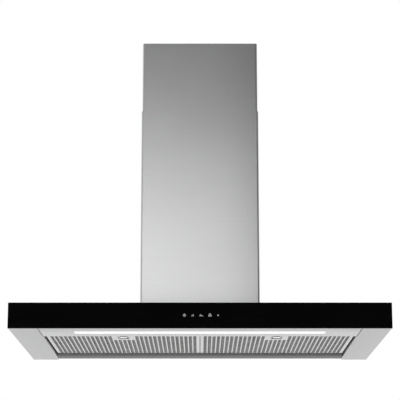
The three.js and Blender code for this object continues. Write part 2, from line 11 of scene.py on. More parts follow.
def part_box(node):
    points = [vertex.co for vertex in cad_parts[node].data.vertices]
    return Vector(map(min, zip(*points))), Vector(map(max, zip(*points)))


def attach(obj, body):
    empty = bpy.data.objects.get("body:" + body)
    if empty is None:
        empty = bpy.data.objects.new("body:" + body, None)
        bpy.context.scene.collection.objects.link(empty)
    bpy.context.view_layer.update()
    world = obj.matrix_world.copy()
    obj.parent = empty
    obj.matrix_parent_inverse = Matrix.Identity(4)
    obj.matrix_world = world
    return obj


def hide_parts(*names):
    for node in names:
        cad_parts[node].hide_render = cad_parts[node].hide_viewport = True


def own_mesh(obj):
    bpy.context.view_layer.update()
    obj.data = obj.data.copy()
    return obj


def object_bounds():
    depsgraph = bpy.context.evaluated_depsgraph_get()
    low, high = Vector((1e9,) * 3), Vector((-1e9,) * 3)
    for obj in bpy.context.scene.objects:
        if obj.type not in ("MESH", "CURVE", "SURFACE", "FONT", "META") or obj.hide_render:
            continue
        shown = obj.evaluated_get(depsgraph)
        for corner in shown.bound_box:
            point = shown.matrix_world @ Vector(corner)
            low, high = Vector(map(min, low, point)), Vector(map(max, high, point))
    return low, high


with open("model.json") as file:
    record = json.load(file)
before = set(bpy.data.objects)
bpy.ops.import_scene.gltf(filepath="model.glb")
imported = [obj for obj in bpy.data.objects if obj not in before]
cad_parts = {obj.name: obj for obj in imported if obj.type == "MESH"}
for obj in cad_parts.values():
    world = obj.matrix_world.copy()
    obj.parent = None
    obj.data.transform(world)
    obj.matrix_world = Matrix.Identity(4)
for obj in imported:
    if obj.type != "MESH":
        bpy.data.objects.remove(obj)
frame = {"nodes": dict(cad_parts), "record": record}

CAD_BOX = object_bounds()
NODES = frame["nodes"]
LOW = CAD_BOX[0]

# ---------- camera ----------

CAMERA_HEIGHT = -0.524  # from the underside
CAMERA_DISTANCE = 3.68  # from the glass
CAMERA_TILT = 12.72  # degrees up
LENS = 143.1


def make_camera():
    data = bpy.data.cameras.new("camera")
    data.sensor_width = 36
    data.lens = LENS
    data.clip_start, data.clip_end = 0.05, 100
    camera = bpy.data.objects.new("camera", data)
    bpy.context.scene.collection.objects.link(camera)
    camera.location = (0, LOW.y - CAMERA_DISTANCE, LOW.z + CAMERA_HEIGHT)
    camera.rotation_euler = (math.radians(90 + CAMERA_TILT), 0, 0)
    bpy.context.scene.camera = camera


# ---------- node building ----------


class Nodes:
    """A node tree, with short calls for the nodes that it uses."""

    def __init__(self, tree):
        self.tree = tree
        self.tree.nodes.clear()

    def add(self, kind, **settings):
        node = self.tree.nodes.new(kind)
        for key, value in settings.items():
            setattr(node, key, value)
        return node

    def link(self, source, target):
        self.tree.links.new(source, target)

    def feed(self, socket, value):
        if isinstance(value, bpy.types.NodeSocket):
            self.link(value, socket)
        else:
            socket.default_value = value

    def math(self, operation, a, b=0.0):
        node = self.add("ShaderNodeMath", operation=operation)
        self.feed(node.inputs[0], a)
        self.feed(node.inputs[1], b)
        return node.outputs[0]

    def split(self, vector):
        node = self.add("ShaderNodeSeparateXYZ")
        self.link(vector, node.inputs[0])
        return node.outputs

    def join(self, x, y, z):
        node = self.add("ShaderNodeCombineXYZ")
        for socket, value in zip(node.inputs, (x, y, z)):
            self.feed(socket, value)
        return node.outputs[0]

    def mix(self, factor, a, b):
        """Between two numbers."""
        node = self.add("ShaderNodeMix", data_type="FLOAT")
        self.feed(node.inputs["Factor"], factor)
        self.feed(node.inputs["A"], a)
        self.feed(node.inputs["B"], b)
        return node.outputs[0]

    def either(self, factor, first, second, output):
        """One of two shaders, by a factor, into an output node."""
        node = self.add("ShaderNodeMixShader")
        for socket, value in zip(node.inputs, (factor, first, second)):
            self.link(value, socket)
        self.link(node.outputs[0], output.inputs["Surface"])


class Shader(Nodes):
    """A material made of nodes around one Principled shader."""

    def __init__(self, name):
        self.material = bpy.data.materials.new(name)
        self.material.use_nodes = True
        super().__init__(self.material.node_tree)
        self.bsdf = self.add("ShaderNodeBsdfPrincipled")
        self.output = self.add("ShaderNodeOutputMaterial")
        self.link(self.bsdf.outputs[0], self.output.inputs["Surface"])
        coords = self.add("ShaderNodeTexCoord")
        self.place = coords.outputs["Object"]
        self.normal = coords.outputs["Normal"]

    def fixed(self, **values):
        """Constant values on the shader's own sockets, by name with _ for a space."""
        for key, value in values.items():
            self.bsdf.inputs[key.replace("_", " ")].default_value = value

    def drive(self, socket, value):
        self.link(value, self.bsdf.inputs[socket])

    def noise(self, vector, scale, detail=3.0, roughness=0.55):
        node = self.add("ShaderNodeTexNoise")
        self.link(vector, node.inputs["Vector"])
        node.inputs["Scale"].default_value = scale
        node.inputs["Detail"].default_value = detail
        node.inputs["Roughness"].default_value = roughness
        return node.outputs["Fac"]

    def voronoi(self, vector, scale, feature="F1", output="Distance"):
        node = self.add("ShaderNodeTexVoronoi", feature=feature)
        self.link(vector, node.inputs["Vector"])
        node.inputs["Scale"].default_value = scale
        return node.outputs[output]

    def stretch(self, vector, factors):
        node = self.add("ShaderNodeVectorMath", operation="MULTIPLY")
        self.link(vector, node.inputs[0])
        node.inputs[1].default_value = factors
        return node.outputs[0]

    def between(self, value, low, high):
        """Maps 0..1 to low..high."""
        node = self.add("ShaderNodeMapRange")
        self.link(value, node.inputs["Value"])
        node.inputs["To Min"].default_value = low
        node.inputs["To Max"].default_value = high
        return node.outputs["Result"]

    def ramp(self, value, start, end):
        """A colour that runs from one (place, colour) stop to another."""
        node = self.add("ShaderNodeValToRGB")
        self.link(value, node.inputs["Fac"])
        for element, (place, colour) in zip(node.color_ramp.elements, (start, end)):
            element.position, element.color = place, (*colour, 1)
        return node.outputs["Color"]

    def bump(self, height, distance, strength=1.0):
        node = self.add("ShaderNodeBump")
        self.link(height, node.inputs["Height"])
        node.inputs["Distance"].default_value = distance
        node.inputs["Strength"].default_value = strength
        self.drive("Normal", node.outputs[0])


def grey(level, tint=0.0):
    """A near-neutral colour, cooler as the tint rises."""
    return (level * (1 - tint), level, level * (1 + tint))


def brushed_steel(name, level, roughness, along, anisotropy=0.55, scratch=1.0):
    """Steel with fine scratches along "y", or along "x", which means Y on faces that look along X."""
    shader = Shader(name)
    x, y, z = shader.split(shader.place)
    nx, _, nz = shader.split(shader.normal)
    sideways = shader.math("GREATER_THAN", shader.math("ABSOLUTE", nx), 0.7)
    flat = shader.math("GREATER_THAN", shader.math("ABSOLUTE", nz), 0.7)
    if along == "x":
        length = shader.mix(sideways, x, y)
        width = shader.mix(flat, z, y)
    else:
        length, width = y, shader.math("ADD", x, z)
    sheet = shader.join(length, width, 0.0)
    fine = shader.noise(shader.stretch(sheet, (6, 2600, 1)), 1.0, 4.0, 0.65)
    broad = shader.noise(shader.stretch(sheet, (1.2, 260, 1)), 1.0, 3.0, 0.6)
    cloud = shader.noise(shader.place, 5.0, 2.0, 0.5)
    grain = shader.math("ADD", shader.math("MULTIPLY", fine, 0.72), shader.math("MULTIPLY", broad, 0.28))
    tone = shader.math("ADD", shader.math("MULTIPLY", grain, 0.7), shader.math("MULTIPLY", cloud, 0.3))
    low, high = grey(level * 0.93), grey(min(level * 1.07, 0.98), 0.004)
    shader.drive("Base Color", shader.ramp(tone, (0.3, low), (0.7, high)))
    shader.drive("Roughness", shader.between(tone, roughness - 0.05, roughness + 0.06))
    upright = shader.math("SUBTRACT", 1.0, flat)
    across = shader.join(0.0, flat, upright) if along == "x" else shader.join(flat, 0.0, upright)
    to_world = shader.add("ShaderNodeVectorTransform", vector_type="VECTOR")
    to_world.convert_from, to_world.convert_to = "OBJECT", "WORLD"
    shader.link(across, to_world.inputs[0])
    shader.drive("Tangent", to_world.outputs[0])
    shader.fixed(Metallic=1.0, Anisotropic=anisotropy)
    shader.bump(grain, 0.00004 * scratch, 0.5)
    return shader.material


def galvanised():
    """Zinc-coated sheet with a faint crystal pattern."""
    shader = Shader("galvanised")
    crystals = shader.voronoi(shader.place, 120.0, output="Color")
    x, _, _ = shader.split(crystals)
    cloud = shader.noise(shader.place, 18.0)
    tone = shader.math("ADD", shader.math("MULTIPLY", x, 0.55), shader.math("MULTIPLY", cloud, 0.45))
    shader.drive("Base Color", shader.ramp(tone, (0.15, grey(0.42, 0.01)), (0.85, grey(0.62, 0.01))))
    shader.drive("Roughness", shader.between(tone, 0.38, 0.6))
    shader.fixed(Metallic=0.9)
    shader.bump(cloud, 0.00005, 0.4)
    return shader.material


def plain_steel():
    """Turned and plated steel with darker wear."""
    shader = Shader("dark_steel")
    cloud = shader.noise(shader.place, 60.0, 5.0)
    fine = shader.noise(shader.place, 900.0, 2.0)
    shader.drive("Base Color", shader.ramp(cloud, (0.3, grey(0.22, 0.01)), (0.7, grey(0.4, 0.01))))
    shader.drive("Roughness", shader.between(fine, 0.25, 0.5))
    shader.fixed(Metallic=1.0)
    shader.bump(fine, 0.00003, 0.4)
    return shader.material


def moulded(name, level, roughness):
    """Moulded plastic with a fine spark-eroded grain."""
    shader = Shader(name)
    grain = shader.noise(shader.place, 1400.0, 2.0)
    cloud = shader.noise(shader.place, 14.0)
    shader.drive("Base Color", shader.ramp(cloud, (0.3, grey(level * 0.85)), (0.7, grey(level * 1.15))))
    shader.drive("Roughness", shader.between(grain, roughness - 0.08, roughness + 0.08))
    shader.bump(grain, 0.00006, 0.6)
    return shader.material


def black_glass():
    """Back-painted toughened glass: a black face under a clear polished surface."""
    shader = Shader("black_glass")
    smear = shader.noise(shader.stretch(shader.place, (3, 3, 9)), 4.0, 4.0)
    shader.drive("Base Color", shader.ramp(smear, (0.3, grey(0.0006)), (0.7, grey(0.0012, 0.05))))
    shader.drive("Roughness", shader.between(smear, 0.03, 0.07))
    shader.fixed(Specular_IOR_Level=0.2)
    return shader.material


def printed_mark():
    """The pale ceramic ink of the touch marks."""
    shader = Shader("printed_mark")
    speck = shader.noise(shader.place, 2500.0, 2.0)
    shader.drive("Base Color", shader.ramp(speck, (0.3, grey(0.3)), (0.7, grey(0.42))))
    shader.drive("Roughness", shader.between(speck, 0.45, 0.6))
    return shader.material


def frosted():
    """Frosted plastic lit from behind, a little brighter over each lamp."""
    shader = Shader("diffuser")
    x, _, _ = shader.split(shader.place)
    lamps, span = 18, 0.592
    waves = shader.math("SINE", shader.math("MULTIPLY", x, math.pi * lamps / span))
    spots = shader.math("ABSOLUTE", waves)
    grain = shader.noise(shader.place, 1200.0, 2.0)
    shader.drive("Base Color", shader.ramp(grain, (0.3, grey(0.84)), (0.7, grey(0.9))))
    shader.drive("Emission Color", shader.ramp(spots, (0.0, (0.9, 0.9, 0.88)), (1.0, (1.0, 0.995, 0.98))))
    shader.drive("Roughness", shader.between(grain, 0.35, 0.5))
    shader.fixed(Emission_Strength=0.7)
    shader.bump(grain, 0.00005, 0.5)
    return shader.material


def circuit_board(name, colour):
    """Solder mask over faint copper traces."""
    shader = Shader(name)
    traces = shader.voronoi(shader.stretch(shader.place, (300, 300, 300)), 1.0, "DISTANCE_TO_EDGE")
    lighter = tuple(min(c * 1.35, 1) for c in colour)
    shader.drive("Base Color", shader.ramp(traces, (0.02, lighter), (0.08, colour)))
    shader.drive("Roughness", shader.between(traces, 0.3, 0.45))
    shader.bump(traces, 0.00005, 0.4)
    return shader.material


def mesh_metal():
    """The expanded aluminium inside the filters, a little dull."""
    shader = Shader("mesh_aluminium")
    cloud = shader.noise(shader.place, 40.0, 4.0)
    fine = shader.noise(shader.place, 700.0, 2.0)
    shader.drive("Base Color", shader.ramp(cloud, (0.3, grey(0.45)), (0.7, grey(0.6))))
    shader.drive("Roughness", shader.between(fine, 0.35, 0.6))
    shader.fixed(Metallic=1.0)
    shader.bump(fine, 0.00008, 0.6)
    return shader.material


# ---------- finishes on the CAD nodes ----------

FLUE_STEEL = brushed_steel("flue_steel", 0.66, 0.34, "x", 0.42, 0.5)
CANOPY_STEEL = brushed_steel("canopy_steel", 0.66, 0.32, "x")
FILTER_STEEL = brushed_steel("filter_steel", 0.49, 0.28, "y", 0.4)
# Painted shade: the canopy shell is a darker copy of the canopy steel, so that its underside flanges read
# darker than the light panel.
SHELL_SHADE_STEEL = brushed_steel("shell_painted_shade_steel", 0.55, 0.32, "x")
# Painted shade: the rear rail's steel is far darker than the canopy steel, standing in for the shade of the
# recess behind the filters.
RAIL_SHADE_STEEL = brushed_steel("rail_painted_shade_steel", 0.17, 0.42, "x", 0.3)
# Painted shade: the filters' back plates are dark steel, standing in for the shade seen through the slots.
BACK_SHADE_STEEL = brushed_steel("back_painted_shade_steel", 0.26, 0.5, "y", 0.3)
POLISHED = brushed_steel("polished_steel", 0.8, 0.16, "x", 0.2, 0.4)
MESH_METAL = mesh_metal()
SLOT_FINISH = {
    "brushed": CANOPY_STEEL,
    "galvanised": galvanised(),
    "filter_steel": FILTER_STEEL,
    "mesh": MESH_METAL,
    "black_glass": black_glass(),
    "diffuser": frosted(),
    "white_board": circuit_board("white_board", (0.78, 0.78, 0.74)),
    "green_board": circuit_board("green_board", (0.02, 0.16, 0.07)),
    "dark_plastic": moulded("dark_plastic", 0.022, 0.5),
    "grey_plastic": moulded("grey_plastic", 0.16, 0.5),
    "dark_steel": plain_steel(),
}


def rounding(width):
    """A node group that welds a CAD mesh and smooths it where it bends gently."""
    tree = bpy.data.node_groups.new("weld_and_smooth", "GeometryNodeTree")
    tree.interface.new_socket("Geometry", in_out="INPUT", socket_type="NodeSocketGeometry")
    tree.interface.new_socket("Geometry", in_out="OUTPUT", socket_type="NodeSocketGeometry")
    start, end = tree.nodes.new("NodeGroupInput"), tree.nodes.new("NodeGroupOutput")
    weld = tree.nodes.new("GeometryNodeMergeByDistance")
    weld.inputs["Distance"].default_value = width
    faces = tree.nodes.new("GeometryNodeSetShadeSmooth")
    edges = tree.nodes.new("GeometryNodeSetShadeSmooth")
    edges.domain = "EDGE"
    edges.inputs["Shade Smooth"].default_value = False
    angle = tree.nodes.new("GeometryNodeInputMeshEdgeAngle")
    sharp = tree.nodes.new("FunctionNodeCompare")
    sharp.data_type, sharp.operation = "FLOAT", "GREATER_THAN"
    sharp.inputs[1].default_value = math.radians(34)
    link = tree.links.new
    link(start.outputs[0], weld.inputs["Geometry"])
    link(weld.outputs[0], faces.inputs["Geometry"])
    link(faces.outputs[0], edges.inputs["Geometry"])
    link(angle.outputs["Unsigned Angle"], sharp.inputs[0])
    link(sharp.outputs[0], edges.inputs["Selection"])
    link(edges.outputs[0], end.inputs[0])
    return tree


WELD = rounding(0.00001)


def soften(obj, width, segments=2):
    """Welds the faceted CAD mesh, shades its bends smooth and rounds its sharp edges."""
    weld = obj.modifiers.new("weld", "NODES")
    weld.node_group = WELD
    bevel = obj.modifiers.new("edges", "BEVEL")
    bevel.width = width
    bevel.segments = segments
    bevel.limit_method = "ANGLE"
    bevel.angle_limit = math.radians(40)
    bevel.harden_normals = True
    bevel.use_clamp_overlap = True


def dress(obj, material):
    obj.data.materials.clear()
    obj.data.materials.append(material)


EDGE = {"glass_panel": 0.0006, "canopy_shell": 0.0003, "outlet_collar": 0.0005}
OWN_FINISH = {
    "canopy_shell": SHELL_SHADE_STEEL,
    "rear_rail": RAIL_SHADE_STEEL,
    "filter_back_left": BACK_SHADE_STEEL,
    "filter_back_right": BACK_SHADE_STEEL,
}
slots = {row["node"]: row["material_slot"] for row in frame["record"]["subparts"]}
for name, node in NODES.items():
    flue = FLUE_STEEL if "flue" in name and "screw" not in name else SLOT_FINISH[slots[name]]
    dress(node, OWN_FINISH.get(name, flue))
    soften(node, EDGE.get(name, 0.0002))

# ---------- meshes of the pieces made here ----------

MM = 0.001
STANDING = Matrix.Rotation(math.pi / 2, 4, "X")  # turns a flat plate to stand along X, facing -Y
ACROSS = Matrix.Rotation(math.pi / 2, 4, "Z") @ STANDING  # to stand along Y, facing +X


def rounded(x0, y0, x1, y1, radius, steps=4):
    """A rectangle's outline with round corners."""
    left, right, front, rear = x0 + radius, x1 - radius, y0 + radius, y1 - radius
    centres = [(right, rear), (left, rear), (left, front), (right, front)]
    points = []
    for quarter, (x, y) in enumerate(centres):
        for k in range(steps + 1):
            turn = math.pi / 2 * (quarter + k / steps)
            points.append((x + radius * math.cos(turn), y + radius * math.sin(turn)))
    return points


def lobed(x, y, radius, lobes=0, swell=0.0, count=36):
    """A circle's outline, or one with round lobes."""
    points = []
    for k in range(count):
        turn = 2 * math.pi * k / count
        reach = radius * (1 + swell * math.cos(lobes * turn + math.pi / 2))
        points.append((x + reach * math.cos(turn), y + reach * math.sin(turn)))
    return points


def pierced(outline, holes, thickness, edge, place):
    """The mesh of a flat plate with cut-outs and rounded edges, made at the origin and put in place."""
    curve = bpy.data.curves.new("outline", "CURVE")
    curve.dimensions = "2D"
    curve.fill_mode = "BOTH"
    curve.extrude = thickness / 2 - edge
    curve.bevel_depth = edge
    curve.bevel_resolution = 1
    curve.offset = -edge
    for points in (outline, *holes):
        spline = curve.splines.new("POLY")
        spline.points.add(len(points) - 1)
        spline.use_cyclic_u = True
        for point, (x, y) in zip(spline.points, points):
            point.co = (x, y, 0, 1)
    holder = bpy.data.objects.new("outline", curve)
    mesh = bpy.data.meshes.new_from_object(holder)
    bpy.data.objects.remove(holder)
    bpy.data.curves.remove(curve)
    mesh.transform(place)
    return mesh


def brick(low, high, edge):
    """The mesh of a box with rounded edges."""
    low, high = Vector(low), Vector(high)
    builder = bmesh.new()
    bmesh.ops.create_cube(builder, size=1)
    for vertex in builder.verts:
        vertex.co = (low + high) / 2 + vertex.co * (high - low)
    bmesh.ops.bevel(builder, geom=builder.edges[:], offset=edge, segments=2, profile=0.5, affect="EDGES")
    mesh = bpy.data.meshes.new("brick")
    builder.to_mesh(mesh)
    builder.free()
    return mesh


def turned(profile, place, sides=32):
    """The mesh of a solid turned about Z, from (radius, height) points that begin and end on its axis."""
    builder = bmesh.new()
    first, last = (builder.verts.new((0, 0, z)) for _, z in (profile[0], profile[-1]))
    rings = []
    for radius, z in profile[1:-1]:
        turns = [2 * math.pi * k / sides for k in range(sides)]
        rings.append([builder.verts.new((radius * math.cos(a), radius * math.sin(a), z)) for a in turns])
    for k in range(sides):
        after = (k + 1) % sides
        builder.faces.new((first, rings[0][k], rings[0][after]))
        builder.faces.new((last, rings[-1][after], rings[-1][k]))
        for inner, outer in zip(rings, rings[1:]):
            builder.faces.new((inner[k], outer[k], outer[after], inner[after]))
    mesh = bpy.data.meshes.new("turned")
    builder.to_mesh(mesh)
    builder.free()
    mesh.transform(place)
    return mesh


def assemble(name, meshes, material, body, replaces=()):
    """One visible piece from several meshes. It rides on a CAD body and may stand for CAD nodes."""
    builder = bmesh.new()
    for mesh in meshes:
        builder.from_mesh(mesh)
        bpy.data.meshes.remove(mesh)
    bmesh.ops.remove_doubles(builder, verts=builder.verts, dist=1e-6)
    bmesh.ops.recalc_face_normals(builder, faces=builder.faces)
    joined = bpy.data.meshes.new(name)
    builder.to_mesh(joined)
    builder.free()
    joined.shade_smooth()
    joined.set_sharp_from_angle(angle=math.radians(50))
    obj = bpy.data.objects.new(name, joined)
    bpy.context.scene.collection.objects.link(obj)
    normals = obj.modifiers.new("normals", "WEIGHTED_NORMAL")
    normals.keep_sharp = True
    dress(obj, material)
    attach(obj, body)
    if replaces:
        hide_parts(*replaces)
    return obj


def depth(t):
    """Y of a place t millimetres behind the glass face."""
    return LOW.y + t * MM


def rise(u):
    """Z of a place u millimetres above the underside."""
    return LOW.z + u * MM


def moved(x=0.0, y=0.0, z=0.0):
    return Matrix.Translation((x, y, z))


# ---------- touch marks ----------

MARKS_RISE = 31


def touch_marks():
    """Five plain marks printed on the glass: power, slower, faster, fan and lamp."""
    marks = [
        lobed(-36.4, 0, 3.5),
        [(-21.2, -2.6), (-13.8, -2.6), (-15.6, 2.9)],
        [(-1.2, -2.9), (-0.2, 2.6), (8.6, -2.2)],
        lobed(23.3, 0, 3.9, 3, 0.2),
        lobed(42.3, 0, 2.2),
    ]
    place = moved(y=LOW.y - 0.02 * MM, z=rise(MARKS_RISE)) @ STANDING
    outlines = [[(x * MM, y * MM) for x, y in mark] for mark in marks]
    meshes = [pierced(outline, [], 0.08 * MM, 0.02 * MM, place) for outline in outlines]
    assemble("touch_marks", meshes, printed_mark(), "hood")


# ---------- grease filters ----------

RIBS = {"slots": 33, "pitch": 10.95, "width": 7.5, "corner": 2.4, "front": 180, "rear": 506}
LATCH_PAD = {"half": 30.5, "rear": 253}
WINDOW = {"half": 13, "front": 200, "rear": 230}
RIM = 2.4  # width of the raised rim round the window
FACE = {"bottom": 7, "front": 150, "rear": 512, "thickness": 1.1, "wall": 0.8, "height": 9.5}
PIVOT = {"depth": 526, "height": 13.6}
LATCH_BOTTOM = 8.2  # underside of the sliding plate
TONGUE = {"half": 12, "front": 144.5, "rear": 236, "thickness": 1.4}
FINGER_HOLE = {"half": 9.5, "front": 209.5, "rear": 232}
PULL = {"half": 9, "front": 187, "rear": 206, "drop": 3.2, "thickness": 1.1}
# Painted shade: a dark cup over the finger hole and a dark lining at the window's rear stand in for shade.
SHADE_CUP = {"half": 14, "front": 206, "rear": 234, "top": 14.3, "wall": 1}
SHADE_LINING = {"half": 9.1, "front": 226.6, "bottom": 6.7}
SPRING = {"radius": 2.2, "wire": 0.38, "turns": 7, "travel": 5, "seat": 235, "stop": 252}
NET = {"width": 8, "length": 4, "height": 9.2, "strand": 1.1, "latch_gap": 23}


def rib_slots(middle):
    """Outlines of the face's long round-ended slots."""
    outlines = []
    for i in range(RIBS["slots"]):
        x = (i - (RIBS["slots"] - 1) / 2) * RIBS["pitch"]
        front = LATCH_PAD["rear"] if abs(x) < LATCH_PAD["half"] else RIBS["front"]
        half = RIBS["width"] / 2 * MM
        x = middle + x * MM
        rear, corner = depth(RIBS["rear"]), RIBS["corner"] * MM
        outlines.append(rounded(x - half, depth(front), x + half, rear, corner))
    return outlines


def centred(middle, half, front, rear, radius):
    """A round-cornered outline on both sides of a filter's middle. All but the middle is in millimetres."""
    return rounded(middle - half * MM, depth(front), middle + half * MM, depth(rear), radius * MM)


def centred_brick(middle, half, fronts, rises, edge):
    """A block on both sides of a filter's middle, from one depth and height to another, in millimetres."""
    low = (middle - half * MM, depth(fronts[0]), rise(rises[0]))
    return brick(low, (middle + half * MM, depth(fronts[1]), rise(rises[1])), edge * MM)


def filter_face(side, middle, half):
    """The slotted tray: a ribbed face, four walls, a hook along its rear, and a rim round the window."""
    left, right = middle - half, middle + half
    front, rear = depth(FACE["front"]), depth(FACE["rear"])
    window = centred(middle, WINDOW["half"], WINDOW["front"], WINDOW["rear"], 2)
    sheet, wall = FACE["thickness"] * MM, FACE["wall"] * MM
    outline = rounded(left, front, right, rear, MM)
    face_place = moved(z=rise(FACE["bottom"]) + sheet / 2)
    face = pierced(outline, [window, *rib_slots(middle)], sheet, 0.45 * MM, face_place)

    low, high = rise(FACE["bottom"]) + sheet * 0.6, rise(FACE["bottom"] + FACE["height"])
    tongue_low = rise(LATCH_BOTTOM) - 0.3 * MM
    tongue = (TONGUE["half"] + 0.8) * MM
    tongue_gap = rounded(middle - tongue, tongue_low, middle + tongue, tongue_low + 2.3 * MM, 0.6 * MM)
    end = rounded(left, low, right, high, 0.8 * MM)
    ends = [
        pierced(end, [tongue_gap], wall, 0.2 * MM, moved(y=front + wall / 2) @ STANDING),
        pierced(end, [], wall, 0.2 * MM, moved(y=rear - wall / 2) @ STANDING),
    ]
    flank = rounded(front, low, rear, high, 0.8 * MM)
    flank_places = [moved(x=x) @ ACROSS for x in (left + wall / 2, right - wall / 2)]
    flanks = [pierced(flank, [], wall, 0.2 * MM, place) for place in flank_places]

    hook_rise = PIVOT["height"]
    hook = brick(
        (left + 4 * MM, rear - 0.5 * MM, rise(hook_rise - 0.6)),
        (right - 4 * MM, depth(PIVOT["depth"] + 13.8), rise(hook_rise + 0.6)),
        0.4 * MM,
    )
    rim_outline = centred(middle, WINDOW["half"] + RIM, WINDOW["front"] - RIM, WINDOW["rear"] + RIM, 4)
    rim = pierced(rim_outline, [window], 1.7 * MM, 0.7 * MM, moved(z=rise(FACE["bottom"] + 0.25)))
    stop_rises = (FACE["bottom"] + 0.5, FACE["bottom"] + 6.5)
    stop = centred_brick(middle, 4, (SPRING["stop"], SPRING["stop"] + 1), stop_rises, 0.2)
    meshes = [face, *ends, *flanks, hook, rim, stop]
    replaced = [f"filter_face_{side}"]
    assemble(f"slotted_face_{side}", meshes, FILTER_STEEL, f"filter_{side}", replaced)


def filter_net(side, middle, half):
    """Expanded aluminium: a net of diamond openings, cut back round the latch."""
    wide, tall = NET["width"] * MM, NET["length"] * MM
    low, high = depth(FACE["front"] + 1.6), depth(FACE["rear"] - 1.6)
    reach = half - 1.4 * MM
    columns, rows = int(reach / wide), int((high - low) / tall)
    builder = bmesh.new()
    corners = {}

    def corner(i, j):
        if (i, j) not in corners:
            corners[i, j] = builder.verts.new((middle + i * wide, low + j * tall, rise(NET["height"])))
        return corners[i, j]

    for i in range(1 - columns, columns):
        for j in range(1, rows):
            beside_latch = abs(i * wide) < NET["latch_gap"] * MM
            near_latch = beside_latch and low + j * tall < depth(LATCH_PAD["rear"] + 6)
            if (i + j) % 2 and not near_latch:
                builder.faces.new((corner(i - 1, j), corner(i, j - 1), corner(i + 1, j), corner(i, j + 1)))
    mesh = bpy.data.meshes.new("net")
    builder.to_mesh(mesh)
    builder.free()
    replaced = [f"filter_mesh_{side}"]
    net = assemble(f"expanded_net_{side}", [mesh], MESH_METAL, f"filter_{side}", replaced)
    strands = net.modifiers.new("strands", "WIREFRAME")
    strands.thickness = NET["strand"] * MM
    strands.use_even_offset = False
    net.modifiers.move(len(net.modifiers) - 1, 0)


def filter_latch(side, middle):
    """The sliding latch: a flat tongue, and a pull in the window that ends in a flat tab under the face."""
    plate_outline = centred(middle, TONGUE["half"], TONGUE["front"], TONGUE["rear"], 1.5)
    hole = centred(middle, FINGER_HOLE["half"], FINGER_HOLE["front"], FINGER_HOLE["rear"], 2)
    thickness = TONGUE["thickness"]
    plate_place = moved(z=rise(LATCH_BOTTOM + thickness / 2))
    plate = pierced(plate_outline, [hole], thickness * MM, 0.3 * MM, plate_place)
    half, rear, low, top = PULL["half"], PULL["rear"], LATCH_BOTTOM - PULL["drop"], LATCH_BOTTOM + 1
    tab_outline = centred(middle, half, PULL["front"], rear, 2)
    tab_place = moved(z=rise(low + PULL["thickness"] / 2))
    tab = pierced(tab_outline, [], PULL["thickness"] * MM, 0.4 * MM, tab_place)
    web = centred_brick(middle, half, (rear - 2, rear - 0.3), (low + 0.3, top), 0.3)
    gussets = [
        centred_brick(middle + x * MM, 0.5, (rear - 1, rear + 3), (low + 0.6, top), 0.3)
        for x in (0.5 - half, half - 0.5)
    ]
    seat = centred_brick(middle, 4, (SPRING["seat"], SPRING["seat"] + 1), (top, LATCH_BOTTOM + 5.6), 0.2)
    meshes = [plate, tab, web, *gussets, seat]
    replaced = [f"filter_latch_{side}"]
    assemble(f"tab_latch_{side}", meshes, POLISHED, f"latch_{side}", replaced)


def latch_shade_cup(side, middle):
    """A moulded dark cup over the finger hole, with a dark lining at the window's rear: painted shade, dark
    pieces that stand in for the shade seen through the hole and the window.
    """
    half, wall, front, rear = SHADE_CUP["half"], SHADE_CUP["wall"], SHADE_CUP["front"], SHADE_CUP["rear"]
    low, high = LATCH_BOTTOM + 1.8, SHADE_CUP["top"]
    walls = [
        (0, half, (front, rear), (high - wall, high)),
        (0, half, (rear - wall, rear), (low, high - wall / 2)),
        (wall / 2 - half, wall / 2, (front, rear - wall / 2), (low, high - wall / 2)),
        (half - wall / 2, wall / 2, (front, rear - wall / 2), (low, high - wall / 2)),
        (0, SHADE_LINING["half"], (SHADE_LINING["front"], SHADE_LINING["front"] + wall), (SHADE_LINING["bottom"], high - wall / 2)),
    ]
    meshes = [centred_brick(middle + x * MM, *block, 0.25) for x, *block in walls]
    assemble(f"latch_shade_cup_{side}", meshes, SLOT_FINISH["dark_plastic"], f"filter_{side}")


def latch_spring(side):
    """The latch's compression spring, with closed end turns."""
    low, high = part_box(f"latch_spring_{side}")
    centre = (low + high) / 2
    radius, wire, turns = SPRING["radius"] * MM, SPRING["wire"] * MM, SPRING["turns"]
    steps, sides = 20, 8
    closed = 2.2 * wire
    pitch = (high.y - low.y - 2 * wire - 2 * closed) / (turns - 2)
    builder = bmesh.new()
    rings = []
    for k in range(turns * steps + 1):
        turn = k / steps
        in_ends = min(turn, 1) + max(turn - turns + 1, 0)
        y = low.y + wire + closed * in_ends + pitch * min(max(turn - 1, 0), turns - 2)
        across, up = math.cos(2 * math.pi * turn), math.sin(2 * math.pi * turn)
        ring = []
        for side_angle in (2 * math.pi * i / sides for i in range(sides)):
            reach = radius + wire * math.cos(side_angle)
            place = (centre.x + reach * across, y + wire * math.sin(side_angle), centre.z + reach * up)
            ring.append(builder.verts.new(place))
        rings.append(ring)
    for ring, following in zip(rings, rings[1:]):
        for i in range(sides):
            after = (i + 1) % sides
            builder.faces.new((ring[i], ring[after], following[after], following[i]))
    builder.faces.new(rings[0])
    builder.faces.new(rings[-1])
    mesh = bpy.data.meshes.new("coil")
    builder.to_mesh(mesh)
    builder.free()
    steel, replaced = SLOT_FINISH["dark_steel"], [f"latch_spring_{side}"]
    coil = assemble(f"coil_spring_{side}", [mesh], steel, f"filter_{side}", replaced)
    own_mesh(coil)


# ---------- small trim ----------


def gap_shade_strips():
    """Dark strips in the gaps beside the light panel: painted shade, standing in for the shade in the gaps.
    """
    low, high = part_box("light_panel")
    near, far = 0.1 * MM, 1.25 * MM
    for side, x0, x1 in (("left", low.x - far, low.x - near), ("right", high.x + near, high.x + far)):
        strip = brick((x0, low.y + MM, rise(0.5)), (x1, high.y - MM, rise(7)), 0.3 * MM)
        assemble(f"gap_shade_strip_{side}", [strip], SLOT_FINISH["dark_plastic"], "hood")


